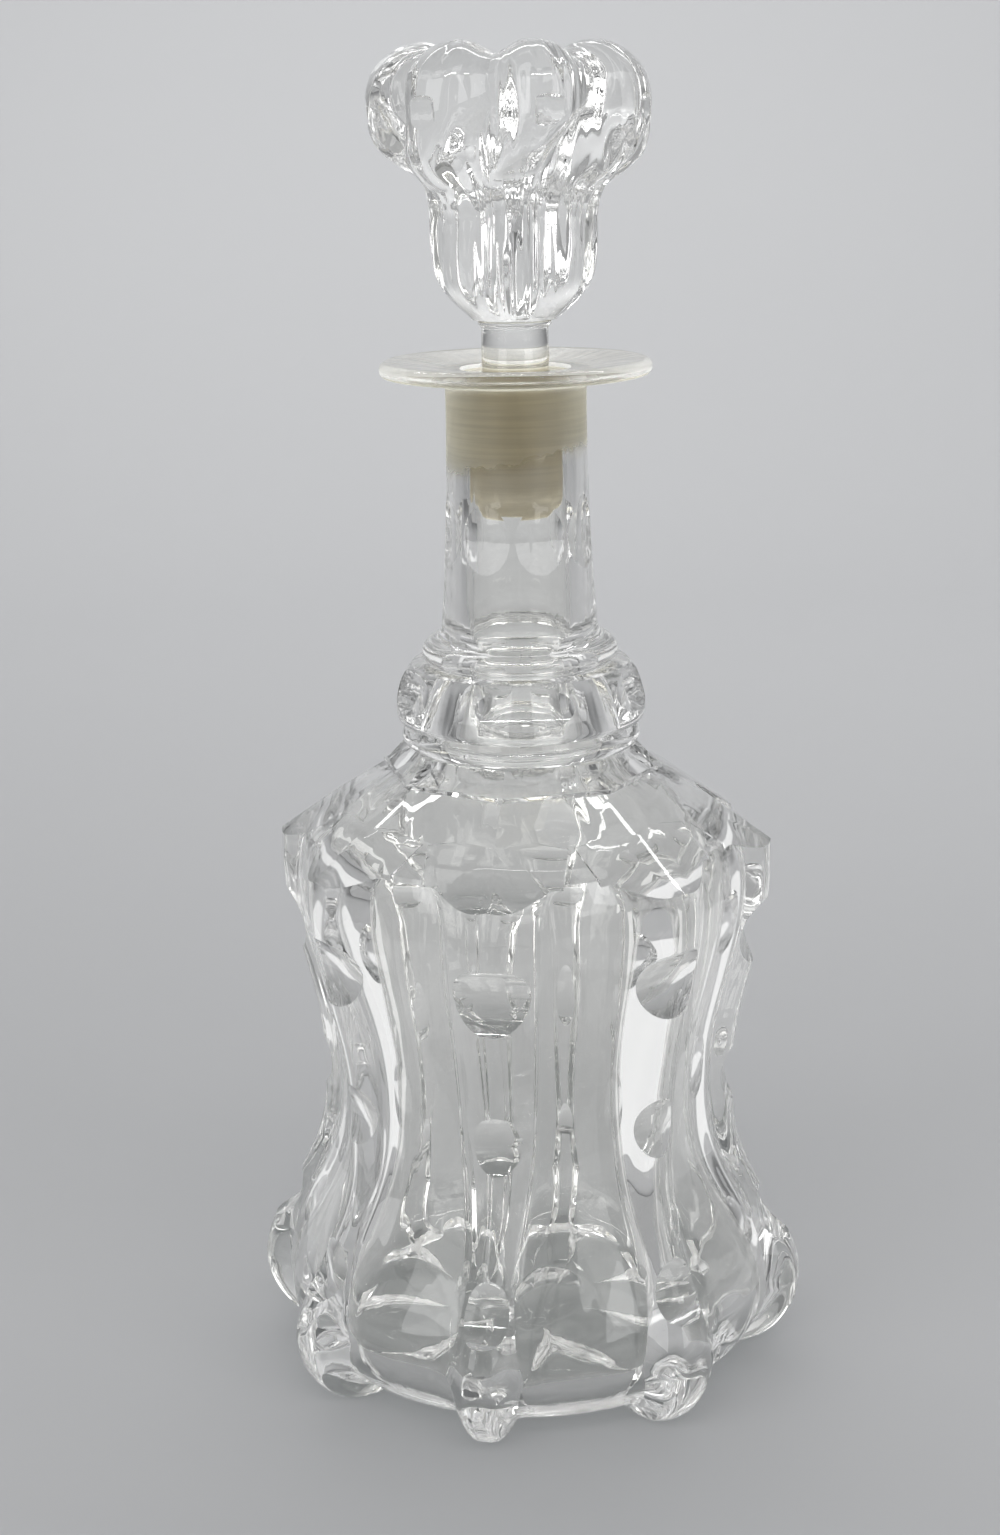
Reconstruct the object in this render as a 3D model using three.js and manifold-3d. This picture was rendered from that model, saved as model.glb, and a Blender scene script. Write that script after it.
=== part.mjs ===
import * as THREE from 'three';
import { mergeVertices } from 'three/addons/utils/BufferGeometryUtils.js';
import Module from 'manifold-3d';

// Mallet decanter in clear lead glass, with a loose ground-in stopper.
// Millimetres, +Z up. The origin is on the axis, at the plane that the feet stand on.
// One pillar faces -Y, and angles about the axis are counted from -Y towards +X.

const wasm = await Module();
wasm.setup();

// Patterns round the axis
const pillarCount = 8;
const neckOvalCount = 8;
const collarOvalCount = 5;
const stopperRidgeCount = 7;
const pillarPitch = (2 * Math.PI) / pillarCount;
const neckTurn = THREE.MathUtils.degToRad(26);
const collarTurn = THREE.MathUtils.degToRad(10);
const stopperTurn = THREE.MathUtils.degToRad(23.1);

// Crests of the pillars
const footHeight = 17.5;
const waistRise = 50.5;
const shoulderRise = 50;
const domeRise = 23.4;
const footRadius = 64.3;
const waistRadius = 48.2;
const shoulderRadius = 56.2;
const padRadius = 47.5;
const padDepth = 0.7;

// Depths of the flutes between the pillars, and the skirt that they end in
const footRelief = 7.3;
const waistRelief = 5.7;
const shoulderRelief = 6;
const skirtHeight = 18;
const skirtLift = 2.8;
const skirtRound = 14;
const footReach = 6;
const pontilRadius = 14;
const pontilDepth = 2.2;

// Widths of the pillars and the arched tops of the flutes
const pillarWidthShoulder = 21;
const pillarWidthWaist = 16;
const pillarWidthAnkle = 11;
const pillarWidthFoot = 19;
const pillarWidthPad = 14;
const archRise = 13.5;

// Eight flat panels of the shoulder
const panelSpan = 31.8;
const panelSlope = THREE.MathUtils.degToRad(31.6);

// Two flats that top each pillar
const roofInset = 10.7;
const roofLength = 24;
const roofWidth = 30;
const roofSlope = THREE.MathUtils.degToRad(35.1);
const roofPitch = THREE.MathUtils.degToRad(13.8);

// Wheel cuts across the pillars
const wheelRadius = 10;
const topNotchRise = 36;
const topNotchDepth = 4.5;
const middleNotchRise = 0.8;
const middleNotchDepth = 2.6;
const lowNotchDrop = 34;
const lowNotchDepth = 3.3;

// Collar of three rings
const ledgeStep = 0.8;
const collarCone = 5;
const lowRingRadius = 26.8;
const lowRingHeight = 4.3;
const grooveDepth = 2.6;
const grooveLip = 0.9;
const bandRadius = 27.9;
const bandHeight = 3.7;
const cushionRise = 10.2;
const cushionBulge = 7.8;
const topRingRadius = 21.9;
const topRingHeight = 5.4;
const collarOvalRise = 5.7;
const collarOvalDepth = 2.1;

// Neck and lip
const neckCove = 4;
const neckLength = 50.8;
const neckBaseRadius = 17.3;
const neckTopRadius = 15.3;
const neckOvalRise = 20.2;
const neckOvalDepth = 1;
const neckWheelRadius = 27;
const lipRadius = 29.6;
const lipFillet = 1.6;
const lipSlope = 1.6;
const lipEdge = 3.3;
const lipDish = 1.8;

// Inside of the vessel
const wall = 5.2;
const baseThickness = 12;
const floorRound = 15;
const floorKick = 5;
const shoulderWall = 7;
const throatRadius = 11;
const flareWidth = 13;
const flareHeight = 37;
const mouthRadius = 11.8;
const seatLength = 17.6;

// Stopper
const seatGap = 0.3;
const pegDrop = 1;
const pegLength = 30.6;
const pegRound = 5;
const stemRadius = 7.3;
const stemLength = 11.4;
const beadWidth = 0.7;
const headRadius = 31;
const headHeight = 57;
const headRelief = 4.8;
const ridgeNotchDepth = 0.9;
const ridgeNotchRadius = 9;
const ridgeNotchWidth = 6;
const ridgeNotchDrop = 14.5;

// How far cutters reach past what they cut, and the distance at which corners are joined
const overrun = 3;
const weld = 0.01;

// Facets of each kind of surface
const neckSides = 36;
const cavitySides = 32;
const wheelSides = 28;
const neckWheelSides = 64;
const wallRows = 11;
const turnRows = 4;
const headRows = 19;

// Heights that follow from the sizes above
const waistZ = footHeight + waistRise;
const shoulderZ = waistZ + shoulderRise;
const panelZ = shoulderZ + domeRise;
const lowRingZ = panelZ + ledgeStep + collarCone;
const bandZ = lowRingZ + lowRingHeight;
const cushionZ = bandZ + bandHeight;
const topRingZ = cushionZ + cushionRise;
const neckZ = topRingZ + topRingHeight + neckCove;
const lipFootZ = neckZ + neckLength;
const lipTopZ = lipFootZ + lipFillet + lipSlope + lipEdge;
const mouthZ = lipTopZ - lipDish;
const pegTopZ = mouthZ - pegDrop;
const headZ = pegTopZ + stemLength;

// Columns of one pillar pitch: 0 is the crest, 1 the pillar's edge and 2 the middle of the flute
const pillarColumnShares = [0, 0.36, 0.66, 0.87, 1, 1.5, 2, 2.5, 3, 3.13, 3.34, 3.64];

// How square the section of a foot is, where 2 is round, and how far up its crown the cushion runs
const footSquareShare = 4;
const crownShare = 0.85;

// The columns of the stopper's ridges, counted in the same way
const ridgeColumnShares = [0, 0.5, 1, 1.4, 2, 2.6, 3, 3.5];
const ridgeWidthShare = 0.32;

// Stopper's head from the stem to the crown: shares of its radius, of its height and of the flutes' depth
const headShares = [
  [0.3, 0, 0], [0.46, 0.072, 0.05], [0.56, 0.15, 0.3], [0.594, 0.26, 0.5], [0.6, 0.42, 0.5],
  [0.665, 0.495, 0.55], [0.8, 0.545, 0.75], [0.945, 0.635, 0.95], [1, 0.78, 1], [0.94, 0.89, 1],
  [0.8, 0.965, 0.8], [0.6, 1, 0.6], [0.42, 0.975, 0.3], [0.25, 0.93, 0], [0, 0.9, 0],
];

const clearGlass = new THREE.MeshStandardMaterial({
  color: 0xdfe5e4, roughness: 0.05, metalness: 0, transparent: true, opacity: 0.4,
});
const stopperGlass = new THREE.MeshStandardMaterial({
  color: 0xe9edec, roughness: 0.06, metalness: 0, transparent: true, opacity: 0.5,
});

// The faces of an index that have three different corners
function wholeFaces(corners) {
  const faces = [];
  for (let i = 0; i < corners.length; i += 3) {
    const [a, b, c] = [corners[i], corners[i + 1], corners[i + 2]];
    if (a !== b && b !== c && c !== a) faces.push(a, b, c);
  }
  return faces;
}

// Turns a closed three.js geometry into a solid
function solid(geometry) {
  const bare = geometry.clone();
  bare.deleteAttribute('normal');
  bare.deleteAttribute('uv');
  const merged = mergeVertices(bare);
  return new wasm.Manifold(new wasm.Mesh({
    numProp: 3,
    vertProperties: Float32Array.from(merged.attributes.position.array),
    triVerts: Uint32Array.from(wholeFaces(merged.index.array)),
  }));
}

// Turns a solid back into a three.js geometry, with corners that nearly meet joined
function geometryOf(body) {
  const mesh = body.getMesh();
  const raw = new THREE.BufferGeometry();
  raw.setAttribute('position', new THREE.BufferAttribute(mesh.vertProperties, 3));
  raw.setIndex(new THREE.BufferAttribute(mesh.triVerts, 1));
  const geometry = mergeVertices(raw, weld);
  geometry.setIndex(wholeFaces(geometry.index.array));
  geometry.computeVertexNormals();
  return geometry;
}

// A point of an outline: radius, then height
function at(radius, height) {
  return new THREE.Vector2(radius, height);
}

// Points of an ellipse about a centre, between two angles that are counted in quarter turns
function arc(centre, across, up, from, to, steps) {
  const points = [];
  for (let i = 0; i <= steps; i += 1) {
    const angle = (Math.PI / 2) * THREE.MathUtils.lerp(from, to, i / steps);
    points.push(at(centre.x + across * Math.cos(angle), centre.y + up * Math.sin(angle)));
  }
  return points;
}

// Revolves an outline about +Z, from the lower end of the axis to the upper one
function revolve(outline, sides) {
  return new THREE.LatheGeometry(outline, sides).rotateX(Math.PI / 2);
}

// Copies of a cutter, one for each place round the axis
function patterned(cutter, count, turn) {
  return Array.from({ length: count }, (_, i) => {
    const angle = turn + (i * 2 * Math.PI) / count;
    return solid(cutter.clone().rotateZ(angle));
  });
}

// Takes a list of cutters off a body
function cut(body, cutters) {
  return cutters.reduce((rest, cutter) => rest.subtract(cutter), body);
}

// A frustum that stands on the axis between two heights, with one corner towards -Y
function frustum(lowRadius, highRadius, lowZ, highZ, sides) {
  const shape = new THREE.CylinderGeometry(highRadius, lowRadius, highZ - lowZ, sides);
  return shape.rotateX(Math.PI / 2).translate(0, 0, (highZ + lowZ) / 2);
}

// The S curve that leads from the waist out to the foot and to the shoulder
function ogee(share, easeShare) {
  return THREE.MathUtils.smoothstep(share, 0, 1) ** easeShare;
}

// Radius at a height of a line down the wall, from its radii at the foot, the waist and the shoulder
function wallRadius(height, footZ, foot, waist, shoulder) {
  const footEaseShare = 1.6;
  const shoulderEaseShare = 1.15;
  if (height < waistZ) {
    return waist + (foot - waist) * ogee((waistZ - height) / (waistZ - footZ), footEaseShare);
  }
  return waist + (shoulder - waist) * ogee((height - waistZ) / (shoulderZ - waistZ), shoulderEaseShare);
}

function crestRadius(height) {
  return wallRadius(height, footHeight, footRadius, waistRadius, shoulderRadius);
}

function fluteRadius(height) {
  return wallRadius(
    height, skirtHeight, footRadius - footRelief, waistRadius - waistRelief, shoulderRadius - shoulderRelief,
  );
}

// Half width of a pillar at a height on the wall: narrow at the ankle, wide at the foot and the shoulder
function pillarHalf(height) {
  const ankleZ = (footHeight + waistZ) / 2;
  if (height < ankleZ) {
    const share = (ankleZ - height) / (ankleZ - footHeight);
    return THREE.MathUtils.lerp(pillarWidthAnkle, pillarWidthFoot, share * share) / 2;
  }
  if (height < waistZ) {
    const share = (height - ankleZ) / (waistZ - ankleZ);
    return THREE.MathUtils.lerp(pillarWidthAnkle, pillarWidthWaist, share) / 2;
  }
  const share = (height - waistZ) / (shoulderZ - waistZ);
  return THREE.MathUtils.lerp(pillarWidthWaist, pillarWidthShoulder, share) / 2;
}

// Underside of the bell: pontil dimple, flat ring, skirt and the feet that stand below it
function baseRows() {
  const skirt = footRadius - footRelief;
  const inner = skirt - skirtRound - footReach;
  const half = pillarWidthPad / 2;
  const level = (radius, height) => {
    const point = at(radius, height);
    return { floor: point, crest: point, half, flatShare: 0, squareShare: footSquareShare };
  };
  const rows = [
    level(0, skirtLift + pontilDepth),
    level(pontilRadius / 2, skirtLift + (pontilDepth * 3) / 4),
    level(pontilRadius, skirtLift),
    level(inner, skirtLift),
  ];
  const skirtTurn = arc(
    at(skirt - skirtRound, skirtHeight), skirtRound, skirtHeight - skirtLift, -1, 0, turnRows,
  );
  const footTurn = arc(
    at(padRadius, footHeight), footRadius - padRadius, footHeight + padDepth, -1, 0, turnRows,
  );
  skirtTurn.forEach((floor, i) => {
    const share = i / turnRows;
    const width = THREE.MathUtils.lerp(pillarWidthPad, pillarWidthFoot, share ** 2);
    rows.push({ floor, crest: footTurn[i], half: width / 2, flatShare: 0, squareShare: footSquareShare });
  });
  return rows;
}

// Wall of the bell, from the widest part of the feet up to the shoulder
function wallRowsUp() {
  return Array.from({ length: wallRows }, (_, i) => {
    const share = (i + 1) / wallRows;
    const floorZ = THREE.MathUtils.lerp(skirtHeight, shoulderZ, share);
    const crestZ = THREE.MathUtils.lerp(footHeight, shoulderZ, share);
    return {
      floor: at(fluteRadius(floorZ), floorZ),
      crest: at(crestRadius(crestZ), crestZ),
      half: pillarHalf(crestZ),
      flatShare: THREE.MathUtils.smoothstep(share, 0, 1 / 4),
      squareShare: THREE.MathUtils.lerp(footSquareShare, 2, Math.min(share * 4, 1)),
    };
  });
}

// Arched tops of the flutes, up to the axis above the panels
function domeRows() {
  const topZ = panelZ + overrun;
  const inner = panelSpan - overrun;
  const floor = fluteRadius(shoulderZ);
  const fluteHalf = (pillarPitch / 2) * floor - pillarWidthShoulder / 2;
  const line = arc(at(inner, shoulderZ), floor - inner, topZ - shoulderZ, 0, 1, 2 * turnRows);
  const rows = line.slice(1).map((point) => {
    const rise = Math.min((point.y - shoulderZ) / archRise, 1);
    const gap = fluteHalf * Math.sqrt(1 - rise ** 2);
    return {
      floor: point,
      crest: at(shoulderRadius, point.y),
      half: (pillarPitch / 2) * point.x - gap,
      flatShare: 1 - rise,
      squareShare: 2,
    };
  });
  rows.push({ floor: at(0, topZ), crest: at(0, topZ), half: 0, flatShare: 0, squareShare: 2 });
  return rows;
}

// Lofts ribs and the flutes between them: a lathe whose rings are drawn in between the ribs
function ribbedLathe(rows, count, columnShares, riseShare, edgeShare) {
  const pitch = (2 * Math.PI) / count;
  const columns = columnShares.length;
  const sides = columns * count;
  const lathe = new THREE.LatheGeometry(rows.map((row) => row.crest), sides);
  const position = lathe.attributes.position;
  for (let i = 0; i <= sides; i += 1) {
    const rib = Math.floor((i % sides) / columns);
    const place = columnShares[i % columns];
    const share = Math.min(place, 4 - place);
    rows.forEach((row, j) => {
      const rise = riseShare(share, row);
      const edge = edgeShare(row) * pitch;
      const angle = share < 1 ? share * edge : edge + (share - 1) * (pitch / 2 - edge);
      const chord = 1 / Math.cos(pitch / 2 - Math.max(angle, edge));
      const floor = row.floor.x * THREE.MathUtils.lerp(1, chord, row.flatShare);
      const radius = THREE.MathUtils.lerp(floor, row.crest.x, rise);
      const height = THREE.MathUtils.lerp(row.floor.y, row.crest.y, rise);
      const azimuth = place > 2 ? (rib + 1) * pitch - angle : rib * pitch + angle;
      position.setXYZ(i * rows.length + j, radius * Math.sin(azimuth), height, radius * Math.cos(azimuth));
    });
  }
  return lathe.rotateX(Math.PI / 2);
}

// The bell before it is cut: eight pillars that end in feet, and the flutes between them
function blownBell() {
  const roundShare = 1.35;
  const widestShare = 0.49;
  const rows = [...baseRows(), ...wallRowsUp(), ...domeRows()];
  const rise = (share, { squareShare }) => (share < 1 ? (1 - share ** squareShare) ** roundShare : 0);
  const edge = ({ floor, half }) => {
    const share = floor.x > 0 ? half / floor.x / pillarPitch : widestShare;
    return Math.min(share, widestShare);
  };
  return solid(ribbedLathe(rows, pillarCount, pillarColumnShares, rise, edge));
}

// Everything under the shoulder's eight panels, which meet in arrises over the pillars
function underPanels() {
  const reach = footRadius + overrun;
  const slopeZ = panelZ - (reach - panelSpan) * Math.tan(panelSlope);
  const outline = [
    at(0, -footHeight),
    at(reach, -footHeight),
    at(reach, slopeZ),
    at(panelSpan, panelZ),
    at(0, panelZ),
  ];
  return solid(revolve(outline, pillarCount));
}

// The two flats that top a pillar, as a cutter with a ridged underside
function roofCutter() {
  const half = roofWidth / 2;
  const fall = half * Math.tan(roofPitch);
  const outline = new THREE.Shape([
    at(0, 0), at(half, -fall), at(half, roofWidth), at(-half, roofWidth), at(-half, -fall),
  ]);
  const ridge = new THREE.ExtrudeGeometry(outline, { depth: roofLength, bevelEnabled: false });
  ridge.translate(0, 0, -overrun).rotateX(Math.PI / 2).rotateX(roofSlope);
  return ridge.translate(0, -panelSpan - roofInset, panelZ - roofInset * Math.tan(panelSlope));
}

// A wheel with its axle along X, which sinks into a surface at a point of an outline by a depth. Lean is how
// much the outline's radius gains on its way up
function wheelCutter(point, lean, size, depth, width, sides) {
  const away = (size - depth) / Math.hypot(1, lean);
  const wheel = new THREE.CylinderGeometry(size, size, width, sides);
  return wheel.rotateZ(Math.PI / 2).translate(0, -point.x - away, point.y - away * lean);
}

// A wheel cut across a pillar's crest
function notchCutter(height, depth) {
  const step = wheelRadius / 4;
  const lean = (crestRadius(height + step) - crestRadius(height - step)) / (2 * step);
  return wheelCutter(at(crestRadius(height), height), lean, wheelRadius, depth, pillarWidthShoulder, wheelSides);
}

// The eight-sided ledge and the cone that lead from the panels up to the collar
function collarFoot() {
  const ledge = frustum(panelSpan, panelSpan, panelZ - overrun, panelZ + ledgeStep, pillarCount);
  const top = lowRingRadius - grooveDepth;
  const cone = frustum(panelSpan - ledgeStep, top, panelZ, lowRingZ + ledgeStep, pillarCount);
  return solid(ledge).add(solid(cone));
}

// Radius of the neck at a rise above its foot
function neckRadius(rise) {
  return neckTopRadius + (neckBaseRadius - neckTopRadius) * (1 - rise / neckLength) ** 2;
}

// Collar, neck and lip, from the axis inside the shoulder to the axis above the mouth
function neckOutline() {
  const lowRound = lowRingHeight / 2;
  const topRound = topRingHeight / 2;
  const edgeRound = lipEdge / 2;
  const groove = lowRingRadius - grooveDepth;
  const crown = Math.asin(crownShare) / (Math.PI / 2);
  const cove = topRingRadius - topRound / 2;
  const neckSteps = 4;
  const neckLine = Array.from({ length: neckSteps + 1 }, (_, i) => {
    const rise = (neckLength * i) / neckSteps;
    return at(neckRadius(rise), neckZ + rise);
  });
  return [
    at(0, panelZ - overrun),
    at(groove - overrun, panelZ - overrun),
    at(groove - overrun, lowRingZ),
    ...arc(at(lowRingRadius - lowRound, lowRingZ + lowRound), lowRound, lowRound, -1, 0.6, 3),
    at(groove, bandZ),
    at(bandRadius - grooveDepth / 2, bandZ + grooveLip),
    ...arc(at(bandRadius - cushionBulge, cushionZ), cushionBulge, cushionRise / crownShare, 0, crown, 5),
    ...arc(at(topRingRadius - topRound, topRingZ + topRound), topRound, topRound, -0.8, 0.8, 3),
    ...arc(at(cove, neckZ), neckBaseRadius - cove, -neckCove, 0.9, 0.3, 2),
    ...neckLine,
    ...arc(at(neckTopRadius + lipFillet, lipFootZ), -lipFillet, lipFillet, 0.5, 1, 1),
    ...arc(at(lipRadius - edgeRound, lipTopZ - edgeRound), edgeRound, edgeRound, -0.9, 1, 3),
    at(mouthRadius, mouthZ),
    at(0, mouthZ),
  ];
}

// A wheel cut that leaves an oval on the collar's cushion
function collarOvalCutter() {
  const crown = cushionRise / crownShare;
  const share = collarOvalRise / crown;
  const across = Math.sqrt(1 - share ** 2);
  const point = at(bandRadius - cushionBulge * (1 - across), cushionZ + collarOvalRise);
  const lean = -(cushionBulge * share) / (crown * across);
  return wheelCutter(point, lean, wheelRadius, collarOvalDepth, bandRadius, wheelSides);
}

// A shallow cut by a larger wheel, which leaves an oval on the neck
function neckOvalCutter() {
  const point = at(neckRadius(neckOvalRise), neckZ + neckOvalRise);
  const lean = (-2 * (neckBaseRadius - neckTopRadius) * (1 - neckOvalRise / neckLength)) / neckLength;
  return wheelCutter(point, lean, neckWheelRadius, neckOvalDepth, neckBaseRadius, neckWheelSides);
}

// Inside of the vessel: floor, wall, shoulder, throat and the tapered seat
function cavityOutline() {
  const floorZ = skirtLift + baseThickness;
  const bottomZ = floorZ + floorRound;
  const ceilingZ = panelZ - shoulderWall;
  const inside = (height) => fluteRadius(height) - wall;
  const flare = throatRadius + flareWidth;
  const sideRows = 8;
  const side = Array.from({ length: sideRows }, (_, i) => {
    const height = THREE.MathUtils.lerp(bottomZ, shoulderZ, (i + 1) / sideRows);
    return at(inside(height), height);
  });
  return [
    at(0, floorZ + floorKick),
    at((inside(bottomZ) - floorRound) / 2, floorZ + floorKick / 2),
    ...arc(at(inside(bottomZ) - floorRound, bottomZ), floorRound, floorRound, -1, 0, 4),
    ...side,
    ...arc(at(flare, shoulderZ), inside(shoulderZ) - flare, ceilingZ - shoulderZ, 0.25, 1, 3),
    ...arc(at(flare, ceilingZ + flareHeight), -flareWidth, -flareHeight, 0.8, 0, 4),
    at(throatRadius, mouthZ - seatLength),
    at(mouthRadius, mouthZ),
    at(mouthRadius, lipTopZ + overrun),
    at(0, lipTopZ + overrun),
  ];
}

// The vessel: bell, collar, neck and lip are one piece of glass
function decanterBody() {
  const notches = [
    notchCutter(waistZ + topNotchRise, topNotchDepth),
    notchCutter(waistZ + middleNotchRise, middleNotchDepth),
    notchCutter(waistZ - lowNotchDrop, lowNotchDepth),
  ];
  const ground = solid(frustum(footRadius, footRadius, -footHeight, 0, neckSides));
  let bell = blownBell().intersect(underPanels()).subtract(ground);
  bell = cut(bell, patterned(roofCutter(), pillarCount, 0));
  bell = notches.reduce((rest, notch) => cut(rest, patterned(notch, pillarCount, 0)), bell);
  const collar = solid(revolve(neckOutline(), neckSides));
  const ovals = patterned(collarOvalCutter(), collarOvalCount, collarTurn);
  const neck = cut(cut(collar, ovals), patterned(neckOvalCutter(), neckOvalCount, neckTurn));
  const body = bell.add(collarFoot()).add(neck);
  return geometryOf(body.subtract(solid(revolve(cavityOutline(), cavitySides))));
}

// Rows of the stopper's head, each with its ridge point and the floor of its flutes
function headRowsUp() {
  const ridge = new THREE.SplineCurve(headShares.map(([r, z]) => at(r * headRadius, headZ + z * headHeight)));
  const depth = new THREE.SplineCurve(headShares.map(([, z, d], i) => at(i, d * headRelief)));
  return Array.from({ length: headRows + 1 }, (_, i) => {
    const share = i / headRows;
    const crest = ridge.getPoint(share);
    const tangent = ridge.getTangent(share);
    const fall = Math.max(depth.getPoint(share).y, 0);
    const floor = at(crest.x - tangent.y * fall, crest.y + tangent.x * fall);
    const tip = at(0, crest.y);
    return i === headRows ? { crest: tip, floor: tip, flatShare: 0 } : { crest, floor, flatShare: 0 };
  });
}

// Peg and stem below the head, as plain round rows
function pegRows() {
  const slope = (mouthRadius - throatRadius) / seatLength;
  const pegRadius = (depth) => mouthRadius - seatGap - slope * (pegDrop + depth);
  const bottomZ = pegTopZ - pegLength;
  const low = pegRadius(pegLength - pegRound);
  const points = [
    at(0, bottomZ),
    ...arc(at(low - pegRound, bottomZ + pegRound), pegRound, pegRound, -1, 0, 4),
    at(pegRadius(0), pegTopZ),
    at(stemRadius, pegTopZ),
    at(stemRadius, headZ - beadWidth * 2),
    at(stemRadius + beadWidth, headZ - beadWidth),
  ];
  return points.map((point) => ({ crest: point, floor: point, flatShare: 0 }));
}

// The stopper: ridged head, stem and ground peg are one piece of glass
function stopperBody() {
  const rise = (share) => (share < 1 ? 1 - share ** 2 / 2 : (2 - share) ** 2 / 2);
  const rows = [...pegRows(), ...headRowsUp()];
  const edge = () => ridgeWidthShare / 2;
  const body = solid(ribbedLathe(rows, stopperRidgeCount, ridgeColumnShares, rise, edge));
  const away = headRadius + ridgeNotchRadius - ridgeNotchDepth;
  const notch = new THREE.CylinderGeometry(ridgeNotchRadius, ridgeNotchRadius, ridgeNotchWidth, wheelSides);
  notch.rotateZ(Math.PI / 2).translate(0, -away, headZ + headHeight - ridgeNotchDrop);
  return geometryOf(cut(body, patterned(notch, stopperRidgeCount, 0))).rotateZ(stopperTurn);
}

// A named piece of the decanter
function piece(name, geometry, material) {
  const mesh = new THREE.Mesh(geometry, material);
  mesh.name = name;
  return mesh;
}

const decanter = new THREE.Group();
decanter.name = 'mallet_decanter';
decanter.add(piece('decanter_body', decanterBody(), clearGlass));
decanter.add(piece('stopper', stopperBody(), stopperGlass));

export default decanter;
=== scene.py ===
import math

import bmesh
import bpy
from mathutils import Matrix, Vector


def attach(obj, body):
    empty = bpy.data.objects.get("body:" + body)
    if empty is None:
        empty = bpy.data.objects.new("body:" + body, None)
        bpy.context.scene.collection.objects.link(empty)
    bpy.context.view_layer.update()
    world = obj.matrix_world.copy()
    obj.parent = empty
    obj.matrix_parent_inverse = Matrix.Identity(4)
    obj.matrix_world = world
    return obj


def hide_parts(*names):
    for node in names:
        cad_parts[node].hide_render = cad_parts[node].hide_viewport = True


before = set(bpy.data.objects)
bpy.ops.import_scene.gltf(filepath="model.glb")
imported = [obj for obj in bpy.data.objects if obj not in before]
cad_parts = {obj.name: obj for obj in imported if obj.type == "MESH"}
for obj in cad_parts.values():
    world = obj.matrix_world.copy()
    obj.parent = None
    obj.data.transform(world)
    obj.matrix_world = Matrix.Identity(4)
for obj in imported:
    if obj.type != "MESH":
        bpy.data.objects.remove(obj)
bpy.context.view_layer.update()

MM = 0.001
TURN = 2 * math.pi
QUARTER = TURN / 4

# Pattern round the axis. Angles are counted from -Y towards +X, and one pillar stands at 0
PILLARS = 8
PITCH = TURN / PILLARS
NECK_OVALS = 8
NECK_TURN = math.radians(26)
COLLAR_OVALS = 5
COLLAR_TURN = math.radians(10)
RIDGES = 7
RIDGE_PITCH = TURN / RIDGES
RIDGE_TURN = math.radians(23.1)

# How far each foot and each ridge of the stopper stands from its even place
FOOT_DRIFTS = [math.radians(angle) for angle in (-2.6, -3, 1.2, -0.8, 1.5, -1.4, 0.9, 0)]
RIDGE_DRIFTS = [math.radians(angle) for angle in (-1, -0.4, -12, -4, 0, 0, 1.3)]

# Bell: crests of the pillars
FOOT_Z = 17.5 * MM
WAIST_Z = 68 * MM
SHOULDER_Z = 118 * MM
FOOT_R = 64.3 * MM
WAIST_R = 48.2 * MM
SHOULDER_R = 56.2 * MM
PAD_R = 47.5 * MM
PAD_DEPTH = 0.7 * MM

# Bell: how sharply the wall bends out to the foot and to the shoulder
FOOT_FLARE = 1.6
SHOULDER_FLARE = 1.15

# Bell: floors of the flutes and the skirt that they end in
SKIRT_R = 57 * MM
SKIRT_Z = 18 * MM
SKIRT_LIFT = 2.8 * MM
SKIRT_ROUND = 14 * MM
FOOT_REACH = 6 * MM
FLUTE_WAIST_R = 42.5 * MM
FLUTE_SHOULDER_R = 50.2 * MM
ARCH_RISE = 13.5 * MM

# Underside: the pontil's dimple, and the hollow between each two feet
PONTIL_R = 14 * MM
PONTIL_DEPTH = 2.2 * MM
PETAL_START = 16 * MM
PETAL_END = 50 * MM
PETAL_HALF = 10 * MM
PETAL_DEPTH = 3 * MM
PETAL_LEAN = 1.6

# Half widths of a pillar from the pad up to the shoulder
PAD_HALF = 6 * MM
FOOT_HALF = 9.5 * MM
ANKLE_HALF = 5.5 * MM
WAIST_HALF = 8 * MM
SHOULDER_HALF = 10.5 * MM

# Section of a pillar: how square it is, where 2 is round, how steep it is, the most of the pitch
# that half of it takes, and the share of the wall over which a foot turns into a pillar
FOOT_SQUARE = 3
PILLAR_SQUARE = 2
PILLAR_STEEP = 1.35
PILLAR_LIMIT = 0.49
FOOT_SHARE = 0.25

# Shoulder: eight panels, two flats over each pillar and the ledge under the collar
PANEL_Z = 141.4 * MM
PANEL_R = 31.8 * MM
PANEL_SLOPE = math.radians(31.6)
ROOF_R = 42.5 * MM
ROOF_LENGTH = 24 * MM
ROOF_HALF = 15 * MM
ROOF_SLOPE = math.radians(35.1)
ROOF_PITCH = math.radians(13.8)
LEDGE_STEP = 0.8 * MM

# Wheel cuts: height and depth of each of the three rows
WHEEL_R = 10 * MM
NOTCHES = (
    (104 * MM, 4.5 * MM),
    (68.8 * MM, 2.6 * MM),
    (34 * MM, 3.3 * MM),
)

# Collar
LOW_RING_R = 26.8 * MM
LOW_RING_Z = 147.2 * MM
LOW_RING_H = 4.3 * MM
GROOVE_R = 24.2 * MM
GROOVE_LIP = 0.9 * MM
BAND_R = 27.9 * MM
CUSHION_Z = 155.2 * MM
CUSHION_H = 10.2 * MM
CUSHION_BULGE = 7.8 * MM
CUSHION_CROWN = 12 * MM
TOP_RING_R = 21.9 * MM
TOP_RING_H = 5.4 * MM
COLLAR_OVAL_RISE = 5.7 * MM
COLLAR_OVAL_DEPTH = 2.1 * MM

# Where the round sections of the collar's rings stop short of a groove, in quarter turns
LOW_RING_STOP = 0.75
RING_STOP = 0.85

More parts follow.
